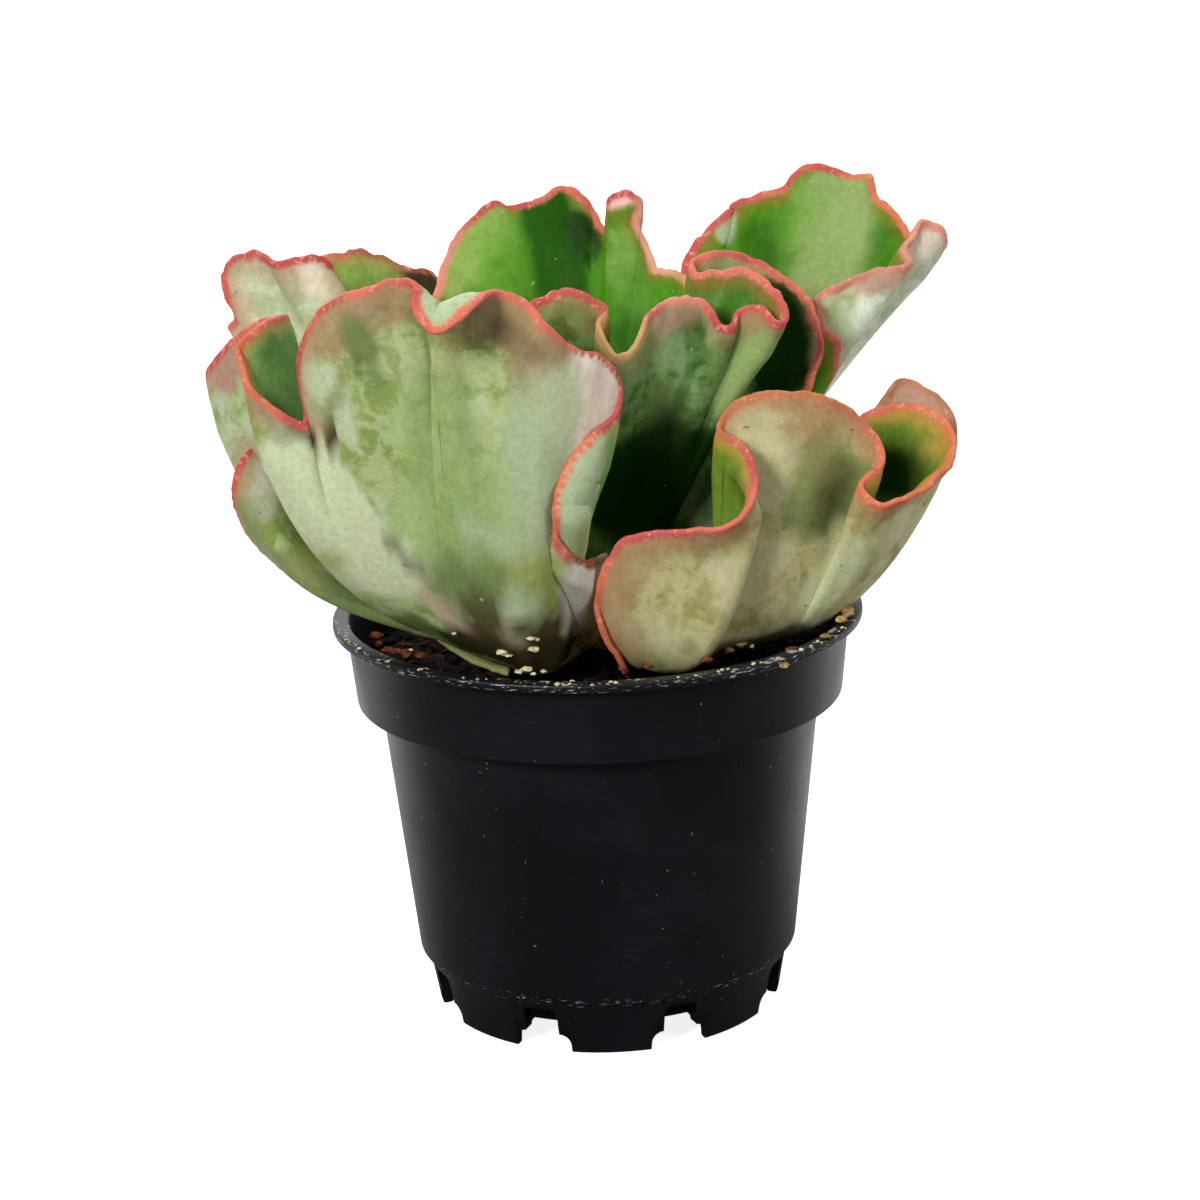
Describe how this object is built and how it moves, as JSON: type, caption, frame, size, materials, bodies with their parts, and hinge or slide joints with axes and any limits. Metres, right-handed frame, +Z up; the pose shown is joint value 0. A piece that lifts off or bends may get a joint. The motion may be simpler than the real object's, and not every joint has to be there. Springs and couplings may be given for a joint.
{
  "type": "potted succulent",
  "caption": "Ruffled rosette succulent with wide waved leaves in a round tapered nursery pot filled with soil.",
  "frame": {"origin": "centre of the pot's foot, on the surface that it stands on", "axes": "+Z up along the pot's axis, -Y towards the plant's front, +X to the right seen from the front"},
  "size_m": [0.144, 0.1115, 0.1598],
  "materials": {
    "pot_plastic": "satin black, lightly scuffed and dusty",
    "soil": "loose dark peat with bark fibres and perlite",
    "stem": "matt",
    "leaf_front": "waxy bloom, pale grey-green outside, green inside, coral margin",
    "leaf_back": "waxy, green inside, pale grey-green outside, coral margin",
    "leaf_young": "waxy green with a coral margin"
  },
  "bodies": {
    "root": {"pot": "pot_plastic", "soil": "soil", "stem": "stem", "leaf_front_left": "leaf_front", "leaf_front_right": "leaf_front", "leaf_front_middle": "leaf_front", "leaf_back_middle": "leaf_back", "leaf_back_right": "leaf_back", "leaf_back_left": "leaf_back", "leaf_rear_right": "leaf_back", "leaf_rear_left": "leaf_back", "leaf_young_right": "leaf_young", "leaf_young_back": "leaf_young", "leaf_young_left": "leaf_young"}
  },
  "joints": []
}
